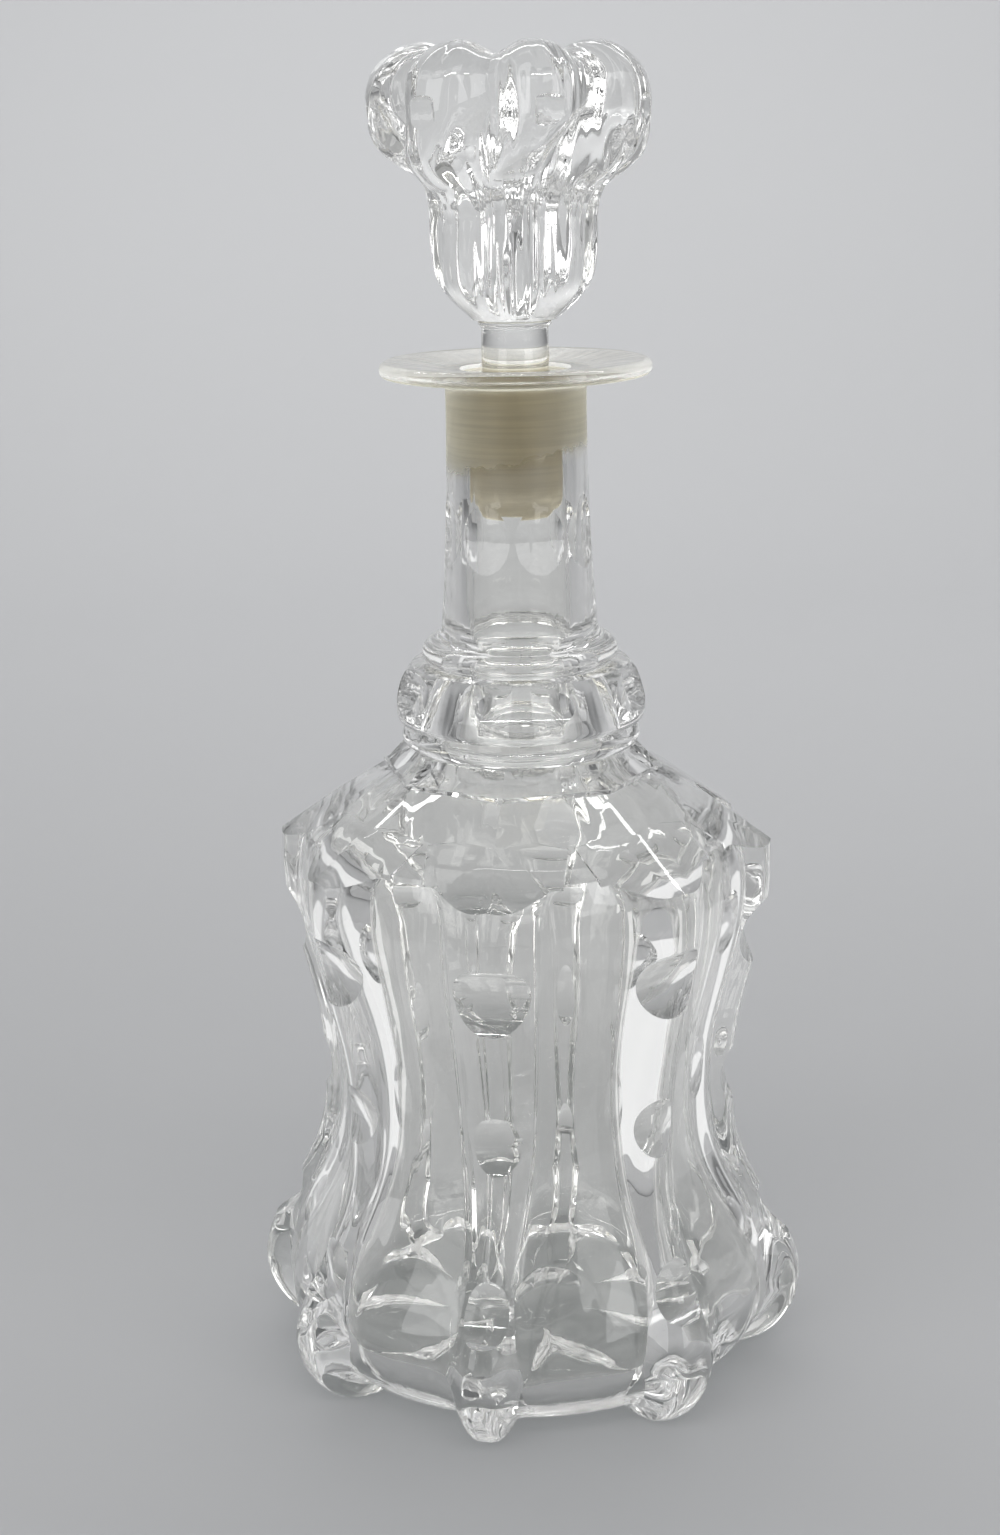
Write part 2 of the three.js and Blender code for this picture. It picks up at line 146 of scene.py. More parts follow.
# Neck and lip
NECK_COVE = 4 * MM
NECK_LENGTH = 50.8 * MM
NECK_FOOT_R = 17.3 * MM
NECK_TOP_R = 15.3 * MM
NECK_OVAL_RISE = 20.2 * MM
NECK_OVAL_DEPTH = 1 * MM
NECK_WHEEL_R = 27 * MM
LIP_R = 29.6 * MM
LIP_FILLET = 1.6 * MM
LIP_RISE = 1.6 * MM
LIP_EDGE = 3.3 * MM
LIP_DISH = 1.8 * MM

# Inside of the vessel
WALL = 5.2 * MM
FLOOR_Z = 9 * MM
FLOOR_ROUND = 10 * MM
CAVITY_WAVE = 0.8 * MM
FLOOR_KICK = 3 * MM
ROOF_WALL = 6.5 * MM
ROOF_START_R = 37 * MM
ROOF_END_R = 23 * MM
THROAT_R = 11 * MM
THROAT_Z = 172 * MM
MOUTH_R = 11.8 * MM
SEAT_LENGTH = 17.6 * MM
SEAT_RUN_OUT = 2 * MM
MOUTH_ROUND = 0.5 * MM

# Stopper: peg and stem
SEAT_GAP = 0.3 * MM
PEG_DROP = 1 * MM
PEG_LENGTH = 30.6 * MM
PEG_ROUND = 5 * MM
STEM_R = 7.3 * MM
STEM_LENGTH = 11.4 * MM
BEAD = 0.7 * MM

# Stopper: size of the head, and its ridges and flutes from the stem to the crown as shares of
# its radius and of its height
HEAD_R = 30.7 * MM
HEAD_H = 57 * MM
RIDGE_SHARES = (
    (0.3, 0), (0.46, 0.072), (0.56, 0.15), (0.59, 0.26), (0.596, 0.4),
    (0.655, 0.49), (0.81, 0.545), (0.945, 0.625), (1, 0.77), (0.955, 0.89),
    (0.8, 0.97), (0.6, 1), (0.42, 0.975), (0.25, 0.93), (0, 0.9),
)
FLUTE_SHARES = (
    (0.3, 0), (0.41, 0.075), (0.43, 0.15), (0.42, 0.26), (0.42, 0.38),
    (0.48, 0.48), (0.58, 0.58), (0.7, 0.69), (0.79, 0.79), (0.79, 0.875),
    (0.7, 0.93), (0.55, 0.95), (0.4, 0.945), (0.25, 0.93), (0, 0.9),
)

# Section of a ridge: half its width as a share of the pitch, how far it falls towards its edge,
# and how round its top and its flute are
RIDGE_HALF = 0.29
RIDGE_FALL = 0.45
RIDGE_ROUND = 2.4
RIDGE_FLUTE_ROUND = 1.15

# The ridges swing round as they run down. Each swing has an angle, the share of the head's
# height that it starts from, and the share that it takes
HEAD_SWINGS = (
    (math.radians(13), 0.76, 0.28),
    (math.radians(4), 0.48, 0.4),
)

# The bend under the bulge goes up and down round the head: how far, how often and from where,
# and the shares of the head's height over which it comes in and goes out
HEAD_SWAY = 1.6 * MM
SWAY_WAVES = 3
SWAY_START = 1
SWAY_IN = 0.4
SWAY_TOP = 0.8
SWAY_OUT = 0.3

# A small wheel cut on each ridge
RIDGE_NOTCH_R = 9 * MM
RIDGE_NOTCH_DEPTH = 0.9 * MM
RIDGE_NOTCH_HALF = 3 * MM
RIDGE_NOTCH_DROP = 14.5 * MM

# Chips of old glass: distance from the axis, angle, height and size
VESSEL_CHIPS = (
    (31.9 * MM, math.radians(-1.3), 142.3 * MM, 1.5 * MM),
    (27 * MM, math.radians(-18.1), 149.6 * MM, 1.1 * MM),
)
STOPPER_CHIP = (8.4 * MM, math.radians(2.1), 198.6 * MM, 1.4 * MM)

# Heights that follow
BAND_Z = LOW_RING_Z + LOW_RING_H
TOP_RING_Z = CUSHION_Z + CUSHION_H
NECK_Z = TOP_RING_Z + TOP_RING_H + NECK_COVE
LIP_FOOT_Z = NECK_Z + NECK_LENGTH
LIP_Z = LIP_FOOT_Z + LIP_FILLET + LIP_RISE + LIP_EDGE
MOUTH_Z = LIP_Z - LIP_DISH
PEG_Z = MOUTH_Z - PEG_DROP
HEAD_Z = PEG_Z + STEM_LENGTH

# Where the round shoulder and the ledge end, just under the collar
DOME_TOP_Z = LOW_RING_Z - 0.2 * MM
LEDGE_TOP_Z = LOW_RING_Z - 0.1 * MM
LEDGE_TOP_R = GROOVE_R + 2.3 * MM

# Columns of the finished surfaces, and the share of them that lies on the ribs
BELL_COLUMNS = PILLARS * 28
STOPPER_COLUMNS = RIDGES * 28
CAVITY_COLUMNS = 160
RIB_COLUMNS = 0.6

# Cutters: how far they stand out of a piece, and the sides of a wheel
OVERRUN = 3 * MM
WHEEL_SIDES = 96
NECK_WHEEL_SIDES = 256

# The numbers that the faces of each kind of cut get. The inside counts as uncut
UNCUT, LAP_CUT, SHOULDER_CUT, ROOF_CUT, NOTCH_CUT, COLLAR_CUT, NECK_CUT, CHIP_CUT = range(8)

# Points nearer to each other than a weld become one, edges shorter than a sliver go, points
# nearer to the axis than this lie on it, and edges sharper than a crease stay crisp
WELD = MM / 200
SLIVER = MM / 500
ON_AXIS = MM / 100
VESSEL_CREASE = math.radians(28)
STOPPER_CREASE = math.radians(35)

# Ground zones: the heights where each starts and ends, how soft its start is, and its colour,
# and then the slant of the start, and how rough and how deep the grain is
SEAT_ZONE = (MOUTH_Z - SEAT_LENGTH - SEAT_RUN_OUT, MOUTH_Z - 1 * MM, 2.5 * MM)
SEAT_COLOUR = (0.84, 0.79, 0.62, 1)
PEG_ZONE = (PEG_Z - PEG_LENGTH - 5 * MM, PEG_Z - 1 * MM, 1 * MM)
PEG_COLOUR = (0.44, 0.38, 0.26, 1)
GROUND_SLANT = 0.18
GROUND_ROUGHNESS = 0.5
GROUND_DEPTH = 0.04 * MM

# Glass: its index, its tint, and what it lets through of a lamp's light
GLASS_INDEX = 1.54
GLASS_TINT = (0.97, 0.97, 0.955, 1)
GLASS_SHADE = (0.86, 0.87, 0.87, 1)

# Noises: scale and detail
CLOUD = (260, 3)
GRAIN = (2400, 2)
SMEAR = (45, 4)
LAP_LINES = (1, 2)
STREAKS = (1, 1.5)

# Smears on the polish, lines that the lap left on the ground zones, and how much darker they are
SMEAR_RANGE = (0.5, 0.8)
SMEAR_ROUGHNESS = 0.03
LAP_STRETCH = (40, 40, 1500)
LAP_RANGE = (0.3, 0.75)
LAP_SHADE = 0.8

# Streaks that run up the glass: how close they stand round the axis and along it, over which
# height they come in, and how deep they are
STREAKS_ROUND = 4.5
STREAKS_ALONG = 28
STREAKS_IN = 8 * MM
VESSEL_STREAKS = 0.25 * MM
STOPPER_STREAKS = 1.8 * MM

# The camera, fitted to the photograph
VIEW_TURN = math.radians(8.7)
CAMERA_BACK = 506.08 * MM
CAMERA_UP = 283.7 * MM
CAMERA_SIDE = -4.98 * MM
CAMERA_PITCH = math.radians(15.793)
CAMERA_ROLL = math.radians(1.09)
FOCAL_PIXELS = 2321.87
FRAME_HEIGHT = 1535
SENSOR = 36

# The sweep: how far it reaches before and behind the object, its height, bend and width
SWEEP_NEAR = -2.5
SWEEP_FAR = 1.35
SWEEP_HEIGHT = 1.8
SWEEP_BEND = 0.5
SWEEP_WIDTH = 5.0
FLOOR_COLOUR = (0.58, 0.585, 0.595, 1)
FLOOR_ROUGHNESS = 0.6
FLOOR_SHINE = 0.3

# The sky: its colour, how strongly it lights, and how much brighter it is seen
SKY_COLOUR = (0.97, 0.98, 1, 1)
SKY_LIGHT = 0.12
SKY_SEEN = 0.26

# Lamps: place, target, width, height and watts
MIDDLE = (0, 0, 0.12)
LAMPS = {
    "front_strip": ((0, -0.75, 0.98), MIDDLE, 0.8, 0.03, 3.5),
    "left_panel": ((-0.95, -0.95, 0.6), MIDDLE, 0.8, 1.1, 6),
    "right_panel": ((0.95, -0.95, 0.6), MIDDLE, 0.8, 1.1, 6),
    "backdrop_wash": ((0, 0.6, 1.3), (0, 1.3, 0.5), 2.0, 0.2, 14),
}

# The lights on the floor start where the picture ends and follow its edge
VIEW_SPREAD = math.radians(11.7)
TABLE_LIGHT_SIDE = 126 * MM
TABLE_LIGHT_WIDTH = 0.14
TABLE_LIGHT_LENGTH = 0.6
TABLE_LIGHT_WATTS = 0.12

# How often light may pass glass and be mirrored
GLASS_BOUNCES = 32
MIRROR_BOUNCES = 16


def lerp(low, high, share):
    return low + (high - low) * share


def smoothstep(share):
    share = min(max(share, 0), 1)
    return share * share * (3 - 2 * share)


def polar(radius, azimuth, z):
    """A place at a distance from the axis and an angle from -Y."""
    return Vector((radius * math.sin(azimuth), -radius * math.cos(azimuth), z))


def arc(centre_r, centre_z, across, up, start, end, steps):
    """Points of an ellipse between two angles that are counted in quarter turns."""
    points = []
    for i in range(steps + 1):
        angle = QUARTER * lerp(start, end, i / steps)
        points.append((centre_r + across * math.cos(angle), centre_z + up * math.sin(angle)))
    return points


def bend(start, corner, end, steps):
    """Points of a curve that leaves one line and joins another, whose lines meet in a corner."""
    points = []
    for i in range(1, steps + 1):
        share = i / steps
        first = [lerp(a, b, share) for a, b in zip(start, corner)]
        second = [lerp(a, b, share) for a, b in zip(corner, end)]
        points.append(tuple(lerp(a, b, share) for a, b in zip(first, second)))
    return points


def spline(points, share):
    """A point on a smooth curve through a list of points, as equal steps of the list."""
    place = share * (len(points) - 1)
    i = min(int(place), len(points) - 2)
    t = place - i
    p1, p2 = points[i], points[i + 1]
    p0 = points[i - 1] if i > 0 else p1
    p3 = points[i + 2] if i + 2 < len(points) else p2
    made = []
    for a, b, c, d in zip(p0, p1, p2, p3):
        slope_in, slope_out = (c - a) / 2, (d - b) / 2
        made.append(
            (2 * b - 2 * c + slope_in + slope_out) * t ** 3
            + (-3 * b + 3 * c - 2 * slope_in - slope_out) * t ** 2
            + slope_in * t
            + b
        )
    return made


def wall_radius(z, foot_z, foot, waist, shoulder):
    """The line down the wall: out from the waist to the foot and to the shoulder."""
    if z < WAIST_Z:
        share = smoothstep((WAIST_Z - z) / (WAIST_Z - foot_z)) ** FOOT_FLARE
        return waist + (foot - waist) * share
    share = smoothstep((z - WAIST_Z) / (SHOULDER_Z - WAIST_Z)) ** SHOULDER_FLARE
    return waist + (shoulder - waist) * share


def crest_radius(z):
    return wall_radius(z, FOOT_Z, FOOT_R, WAIST_R, SHOULDER_R)


def flute_radius(z):
    return wall_radius(z, SKIRT_Z, SKIRT_R, FLUTE_WAIST_R, FLUTE_SHOULDER_R)


def pillar_half(z):
    ankle_z = (FOOT_Z + WAIST_Z) / 2
    if z < ankle_z:
        return lerp(ANKLE_HALF, FOOT_HALF, ((ankle_z - z) / (ankle_z - FOOT_Z)) ** 2)
    if z < WAIST_Z:
        return lerp(ANKLE_HALF, WAIST_HALF, (z - ankle_z) / (WAIST_Z - ankle_z))
    return lerp(WAIST_HALF, SHOULDER_HALF, (z - WAIST_Z) / (SHOULDER_Z - WAIST_Z))


def row(floor, crest, half, flat, square=PILLAR_SQUARE, drift=0, twist=0):
    """One ring of a ribbed surface.

    It has a flute's floor, a rib's crest and half width, how flat the flute is, how square the
    rib is, the share of the ribs' drift that it takes, and the angle that it is twisted by.
    """
    return {
        "floor": floor, "crest": crest, "half": half, "flat": flat,
        "square": square, "drift": drift, "twist": twist,
    }


def foot_row(floor, crest, half=PAD_HALF):
    return row(floor, crest, half, 0, FOOT_SQUARE, 1)


def plain_rows(points):
    """Rings without ribs."""
    return [row(point, point, SHOULDER_HALF, 0) for point in points]


def underside_points(inner, dimple_steps=8, flat_steps=20):
    """Pontil dimple and the flat round it."""
    radii = [PONTIL_R * i / dimple_steps for i in range(dimple_steps + 1)]
    points = [(r, SKIRT_LIFT + PONTIL_DEPTH * (1 - (r / PONTIL_R) ** 2)) for r in radii]
    for i in range(1, flat_steps):
        points.append((lerp(PONTIL_R, inner, i / flat_steps), SKIRT_LIFT))
    return points


def base_rows(reach_steps=6, steps=20):
    """Underside, skirt and the feet that stand below it."""
    outer = SKIRT_R - SKIRT_ROUND
    inner = outer - FOOT_REACH
    rows = [foot_row(point, point) for point in underside_points(inner)]
    for i in range(reach_steps):
        share = i / reach_steps
        floor = (lerp(inner, outer, share), SKIRT_LIFT)
        crest = (lerp(inner, PAD_R, share), lerp(SKIRT_LIFT, -PAD_DEPTH, share))
        rows.append(foot_row(floor, crest))
    skirt = arc(outer, SKIRT_Z, SKIRT_ROUND, SKIRT_Z - SKIRT_LIFT, -1, 0, steps)
    foot = arc(PAD_R, FOOT_Z, FOOT_R - PAD_R, FOOT_Z + PAD_DEPTH, -1, 0, steps)
    for i in range(steps + 1):
        rows.append(foot_row(skirt[i], foot[i], lerp(PAD_HALF, FOOT_HALF, (i / steps) ** 2)))
    return rows


def petal_rise(place):
    """How far a point under the base is lifted, for the almond-shaped hollows between the feet."""
    radius = math.hypot(place.x, place.y)
    along = (radius - PETAL_START) / (PETAL_END - PETAL_START)
    if not 0 < along < 1:
        return 0
    turn = math.atan2(place.x, -place.y) / PITCH
    across = (abs(turn - math.floor(turn)) - 0.5) * PITCH * radius
    half = PETAL_HALF * math.sin(math.pi * along ** PETAL_LEAN)
    if abs(across) >= half:
        return 0
    return PETAL_DEPTH * (1 - (across / half) ** 2) * math.sin(math.pi * along)


def wall_rows(steps=56):
    """The wall from the skirt to the shoulder, where each foot narrows into a pillar."""
    rows = []
    for i in range(1, steps + 1):
        share = i / steps
        floor_z = lerp(SKIRT_Z, SHOULDER_Z, share)
        crest_z = lerp(FOOT_Z, SHOULDER_Z, share)
        floor = (flute_radius(floor_z), floor_z)
        crest = (crest_radius(crest_z), crest_z)
        flat = smoothstep(share / FOOT_SHARE)
        square = lerp(FOOT_SQUARE, PILLAR_SQUARE, min(share / FOOT_SHARE, 1))
        stray = 1 - smoothstep((crest_z - FOOT_Z) / (WAIST_Z - FOOT_Z))
        rows.append(row(floor, crest, pillar_half(crest_z), flat, square, stray))
    return rows


def dome_rows(steps=24):
    """Arched tops of the flutes, and the round shoulder that the panels are cut from."""
    inner = PANEL_R - OVERRUN
    floor = flute_radius(SHOULDER_Z)
    gap_half = (PITCH / 2) * floor - SHOULDER_HALF
    rows = []
    for r, z in arc(inner, SHOULDER_Z, floor - inner, DOME_TOP_Z - SHOULDER_Z, 0, 1, steps)[1:]:
        rise = min((z - SHOULDER_Z) / ARCH_RISE, 1)
        gap = gap_half * math.sqrt(1 - rise * rise)
        rows.append(row((r, z), (SHOULDER_R, z), (PITCH / 2) * r - gap, 1 - rise))
    return rows


def collar_points():
    """Three rings, from the flat over the shoulder up to the neck's foot."""
    low = LOW_RING_H / 2
    top = TOP_RING_H / 2
    cove = TOP_RING_R - top / 2
    crown = math.asin(CUSHION_H / CUSHION_CROWN) / QUARTER
    points = [(GROOVE_R, DOME_TOP_Z)]
    points += arc(LOW_RING_R - low, LOW_RING_Z + low, low, low, -1, LOW_RING_STOP, 10)
    points += [(GROOVE_R, BAND_Z + GROOVE_LIP / 2)]
    points += arc(BAND_R - low, BAND_Z + GROOVE_LIP + low, low, low, -RING_STOP, 0, 6)
    points += arc(BAND_R - CUSHION_BULGE, CUSHION_Z, CUSHION_BULGE, CUSHION_CROWN, 0, crown, 16)
    points += arc(TOP_RING_R - top, TOP_RING_Z + top, top, top, -RING_STOP, RING_STOP, 12)
    points += arc(cove, NECK_Z, NECK_FOOT_R - cove, -NECK_COVE, 0.95, 0.05, 7)
    return points


def neck_radius(rise):
    return NECK_TOP_R + (NECK_FOOT_R - NECK_TOP_R) * (1 - rise / NECK_LENGTH) ** 2


def neck_points(steps=18):
    rises = [NECK_LENGTH * i / steps for i in range(steps)]
    return [(neck_radius(rise), NECK_Z + rise) for rise in rises]


def lip_points(under_steps=4, dish_steps=6):
    """The lip: a fillet, its underside, its round edge and the dish round the mouth."""
    edge = LIP_EDGE / 2
    points = arc(NECK_TOP_R + LIP_FILLET, LIP_FOOT_Z, -LIP_FILLET, LIP_FILLET, 0.15, 1, 6)
    under = (points[-1], (LIP_R - edge, LIP_Z - LIP_EDGE))
    for i in range(1, under_steps):
        points.append(tuple(lerp(a, b, i / under_steps) for a, b in zip(*under)))
    points += arc(LIP_R - edge, LIP_Z - edge, edge, edge, -1, 1, 14)
    rim = points[-1][0]
    for i in range(1, dish_steps + 1):
        share = i / dish_steps
        points.append((lerp(rim, MOUTH_R, share), LIP_Z - LIP_DISH * smoothstep(share)))
    points.append((0, MOUTH_Z))
    return points


def drift(drifts, rib, turn):
    """How far the ribs stray at an angle: a rib's own drift on it, and between two in a flute."""
    beside = rib + (1 if turn > rib else -1)
    return lerp(drifts[rib % len(drifts)], drifts[beside % len(drifts)], abs(turn - rib))


def rib_share(place):
    """0 on a rib's crest, 1 at its edge and 2 in the middle of the flute beside it."""
    if place < RIB_COLUMNS:
        return place / RIB_COLUMNS
    return 1 + (place - RIB_COLUMNS) / (1 - RIB_COLUMNS)


def ribbed_place(ring, azimuth, pitch, rise_of, edge_of, drifts):
    """Where a point goes, from its ring and its angle before the ribs are drawn in."""
    turn = azimuth / pitch
    rib = math.floor(turn + 0.5)
    share = rib_share(abs(turn - rib) * 2)
    edge = edge_of(ring)
    angle = share * edge if share < 1 else edge + (share - 1) * (pitch / 2 - edge)
    chord = 1 / math.cos(pitch / 2 - max(angle, edge))
    rise = rise_of(share, ring)
    floor_r = ring["floor"][0] * lerp(1, chord, ring["flat"])
    radius = lerp(floor_r, ring["crest"][0], rise)
    z = lerp(ring["floor"][1], ring["crest"][1], rise)
    around = rib * pitch + math.copysign(angle, turn - rib) + ring["twist"]
    around += drift(drifts, rib, turn) * ring["drift"]
    return polar(radius, around, z)


def weld(bm):
    bmesh.ops.remove_doubles(bm, verts=bm.verts, dist=WELD)
    bmesh.ops.recalc_face_normals(bm, faces=bm.faces)
    return bm


def spin(bm, steps):
    """Spins an outline about +Z."""
    bmesh.ops.spin(
        bm, geom=bm.verts[:] + bm.edges[:], cent=(0, 0, 0), axis=(0, 0, 1),
        dvec=(0, 0, 0), angle=TURN, steps=steps, use_merge=True,
    )


def spun(points, steps, shape):
    """Spins an outline of radius and height. shape places each point by its ring and angle."""
    bm = bmesh.new()
    ring_number = bm.verts.layers.int.new("ring")
    column = []
    for i, (radius, z) in enumerate(points):
        vert = bm.verts.new((0, -max(radius, 0), z))
        vert[ring_number] = i
        column.append(vert)
    for low, high in zip(column, column[1:]):
        bm.edges.new((low, high))
    spin(bm, steps)
    for vert in bm.verts:
        if math.hypot(vert.co.x, vert.co.y) > ON_AXIS:
            vert.co = shape(vert[ring_number], math.atan2(vert.co.x, -vert.co.y))
        else:
            vert.co.x = vert.co.y = 0
    return weld(bm)


def closed_spun(points, steps):
    """Spins a closed outline that stays off the axis, as a ring."""
    bm = bmesh.new()
    loop = [bm.verts.new((0, -radius, z)) for radius, z in points]
    for a, b in zip(loop, loop[1:] + loop[:1]):
        bm.edges.new((a, b))
    spin(bm, steps)
    return weld(bm)


def verts_of(made):
    return [v for v in made["geom"] if isinstance(v, bmesh.types.BMVert)]


def rotate(bm, verts, angle, axis):
    matrix = Matrix.Rotation(angle, 3, axis)
    bmesh.ops.rotate(bm, verts=verts, cent=(0, 0, 0), matrix=matrix)


def move(bm, vec):
    bmesh.ops.translate(bm, verts=bm.verts, vec=vec)


def mesh_object(name, bm):
    mesh = bpy.data.meshes.new(name)
    bm.to_mesh(mesh)
    bm.free()
    obj = bpy.data.objects.new(name, mesh)
    bpy.context.scene.collection.objects.link(obj)
    return obj


def copies(bm, count, turn=0):
    """Repeats a cutter round the axis."""
    first = bm.verts[:] + bm.edges[:] + bm.faces[:]
    for i in range(1, count):
        rotate(bm, verts_of(bmesh.ops.duplicate(bm, geom=first)), i * TURN / count, "Z")
    rotate(bm, bm.verts, turn, "Z")
    return bm


def cut(obj, bm, number):
    """Takes a cutter off a piece. The cut faces get a number, so that their edges stay crisp."""
    for face in bm.faces:
        face.material_index = number
    cutter = mesh_object("cutter", bm)
    for piece in (obj, cutter):
        while len(piece.data.materials) <= number:
            piece.data.materials.append(None)
    modifier = obj.modifiers.new("cut", "BOOLEAN")
    modifier.operation = "DIFFERENCE"
    modifier.solver = "MANIFOLD"
    modifier.material_mode = "INDEX"
    modifier.object = cutter
    evaluated = obj.evaluated_get(bpy.context.evaluated_depsgraph_get())
    mesh = bpy.data.meshes.new_from_object(evaluated)
    obj.modifiers.clear()
    old = obj.data
    obj.data = mesh
    bpy.data.meshes.remove(old)
    bpy.data.objects.remove(cutter)


def finish_glass(obj, crease, material):
    """Shades a piece smooth, but for its cut edges, and gives it its glass."""
    bm = bmesh.new()
    bm.from_mesh(obj.data)
    bmesh.ops.remove_doubles(bm, verts=bm.verts, dist=WELD)
    bmesh.ops.dissolve_degenerate(bm, edges=bm.edges, dist=SLIVER)
    for face in bm.faces:
        face.smooth = True
    for edge in bm.edges:
        if len(edge.link_faces) == 2:
            a, b = edge.link_faces
            same_cut = a.material_index == b.material_index
            edge.smooth = same_cut and edge.calc_face_angle(0) < crease
    for face in bm.faces:
        face.material_index = 0
    bm.to_mesh(obj.data)
    bm.free()
    obj.data.materials.clear()
    obj.data.materials.append(material)


def wheel(point, lean, size, depth, half, sides=WHEEL_SIDES):
    """A wheel with its axle along X, sunk into a surface that leans outwards on its way up."""
    away = (size - depth) / math.hypot(1, lean)
    bm = bmesh.new()
    bmesh.ops.create_cone(
        bm, cap_ends=True, segments=sides, radius1=size, radius2=size, depth=2 * half,
    )
    rotate(bm, bm.verts, QUARTER, "Y")
    move(bm, (0, -point[0] - away, point[1] - away * lean))
    return bm


def notch_cutter(z, depth):
    step = WHEEL_R / 4
    lean = (crest_radius(z + step) - crest_radius(z - step)) / (2 * step)
    return wheel((crest_radius(z), z), lean, WHEEL_R, depth, SHOULDER_HALF)


def roof_cutter():
    """The two flats over a pillar: a long wedge with its ridge on the pillar."""
    bm = bmesh.new()
    fall = ROOF_HALF * math.tan(ROOF_PITCH)
    section = [
        (0, 0), (ROOF_HALF, -fall), (ROOF_HALF, 2 * ROOF_HALF),
        (-ROOF_HALF, 2 * ROOF_HALF), (-ROOF_HALF, -fall),
    ]
    face = bm.faces.new([bm.verts.new((x, OVERRUN, z)) for x, z in section])
    verts = verts_of(bmesh.ops.extrude_face_region(bm, geom=[face]))
    bmesh.ops.translate(bm, verts=verts, vec=(0, -ROOF_LENGTH - OVERRUN, 0))
    bmesh.ops.recalc_face_normals(bm, faces=bm.faces)
    rotate(bm, bm.verts, ROOF_SLOPE, "X")
    move(bm, (0, -ROOF_R, PANEL_Z - (ROOF_R - PANEL_R) * math.tan(PANEL_SLOPE)))
    return bm


def shoulder_cutter():
    """What the eight panels, the ledge and the eight-sided cone take away."""
    reach = FOOT_R + 5 * OVERRUN
    low = PANEL_Z - (reach - PANEL_R) * math.tan(PANEL_SLOPE)
    return closed_spun([
        (reach, low), (PANEL_R, PANEL_Z), (PANEL_R, PANEL_Z + LEDGE_STEP),
        (PANEL_R - LEDGE_STEP, PANEL_Z + LEDGE_STEP), (LEDGE_TOP_R, LEDGE_TOP_Z),
        (reach, LEDGE_TOP_Z),
    ], PILLARS)


def collar_oval_cutter():
    """A wheel cut that leaves an oval on the collar's cushion."""
    share = COLLAR_OVAL_RISE / CUSHION_CROWN
    across = math.sqrt(1 - share ** 2)
    point = (BAND_R - CUSHION_BULGE * (1 - across), CUSHION_Z + COLLAR_OVAL_RISE)
    lean = -(CUSHION_BULGE * share) / (CUSHION_CROWN * across)
    return wheel(point, lean, WHEEL_R, COLLAR_OVAL_DEPTH, BAND_R / 2)


def neck_oval_cutter():
    """A shallow cut by a larger wheel, which leaves an oval on the neck."""
    point = (neck_radius(NECK_OVAL_RISE), NECK_Z + NECK_OVAL_RISE)
    lean = -2 * (NECK_FOOT_R - NECK_TOP_R) * (1 - NECK_OVAL_RISE / NECK_LENGTH) / NECK_LENGTH
    half = NECK_FOOT_R / 2
    return wheel(point, lean, NECK_WHEEL_R, NECK_OVAL_DEPTH, half, NECK_WHEEL_SIDES)


def chip_cutter(radius, azimuth, z, size):
    """A small knock, which leaves a few facets."""
    bm = bmesh.new()
    bmesh.ops.create_icosphere(bm, subdivisions=1, radius=size)
    move(bm, (radius * math.sin(azimuth), -radius * math.cos(azimuth), z))
    return bm


def ground_cutter():
    """What the flat lap takes off the feet."""
    bm = bmesh.new()
    bmesh.ops.create_cube(bm, size=4 * FOOT_R)
    move(bm, (0, 0, -2 * FOOT_R))
    return bm


def roof_z(radius):
    """Height of the cone inside the shoulder, which runs along under the panels."""
    return PANEL_Z - ROOF_WALL - (radius - PANEL_R) * math.tan(PANEL_SLOPE)


def bell_inside_points(floor_steps=8, wall_steps=28):
    """The floor with its kick, the wall and the start of the cone under the shoulder."""
    bottom_z = FLOOR_Z + FLOOR_ROUND
    flat_r = flute_radius(bottom_z) - WALL - FLOOR_ROUND
    points = []
    for i in range(floor_steps):
        kick = FLOOR_KICK * (1 - smoothstep(i / floor_steps))
        points.append((flat_r * i / floor_steps, FLOOR_Z + kick))
    points += arc(flat_r, bottom_z, FLOOR_ROUND, FLOOR_ROUND, -1, 0, 12)
    for i in range(1, wall_steps + 1):
        z = lerp(bottom_z, SHOULDER_Z, i / wall_steps)
        points.append((flute_radius(z) - WALL, z))
    top = points[-1]
    return points + bend(top, (top[0], roof_z(top[0])), (ROOF_START_R, roof_z(ROOF_START_R)), 12)


def neck_inside_points():
    """The end of the cone, the throat, the ground seat and the mouth."""
    seat_z = MOUTH_Z - SEAT_LENGTH
    mouth_z = MOUTH_Z - 2 * MOUTH_ROUND
    points = bend(
        (ROOF_END_R, roof_z(ROOF_END_R)), (THROAT_R, roof_z(THROAT_R)), (THROAT_R, THROAT_Z), 18,
    )
    points += [(THROAT_R, seat_z - SEAT_RUN_OUT), (THROAT_R, seat_z), (MOUTH_R, mouth_z)]
    points += arc(MOUTH_R + MOUTH_ROUND, mouth_z, -MOUTH_ROUND, 2 * MOUTH_ROUND, 0.2, 0.8, 4)
    points += [(MOUTH_R + 2 * MOUTH_ROUND, LIP_Z + OVERRUN), (0, LIP_Z + OVERRUN)]
    return points


def cavity_cutter():
    """The inside of the vessel, which follows the pillars a little in its lower half."""
    points = bell_inside_points() + neck_inside_points()

    def place(number, azimuth):
        radius, z = points[number]
        low = smoothstep((WAIST_Z - z) / (WAIST_Z - SKIRT_Z))
        wave = CAVITY_WAVE * low * smoothstep(radius / SKIRT_R)
        return polar(radius + wave * math.cos(azimuth * PILLARS), azimuth, z)

    return spun(points, CAVITY_COLUMNS, place)


def pillar_rise(share, ring):
    return (1 - share ** ring["square"]) ** PILLAR_STEEP if share < 1 else 0


def pillar_edge(ring):
    if ring["floor"][0] < MM:
        return PITCH / 4
    return min(ring["half"] / ring["floor"][0], PILLAR_LIMIT * PITCH)


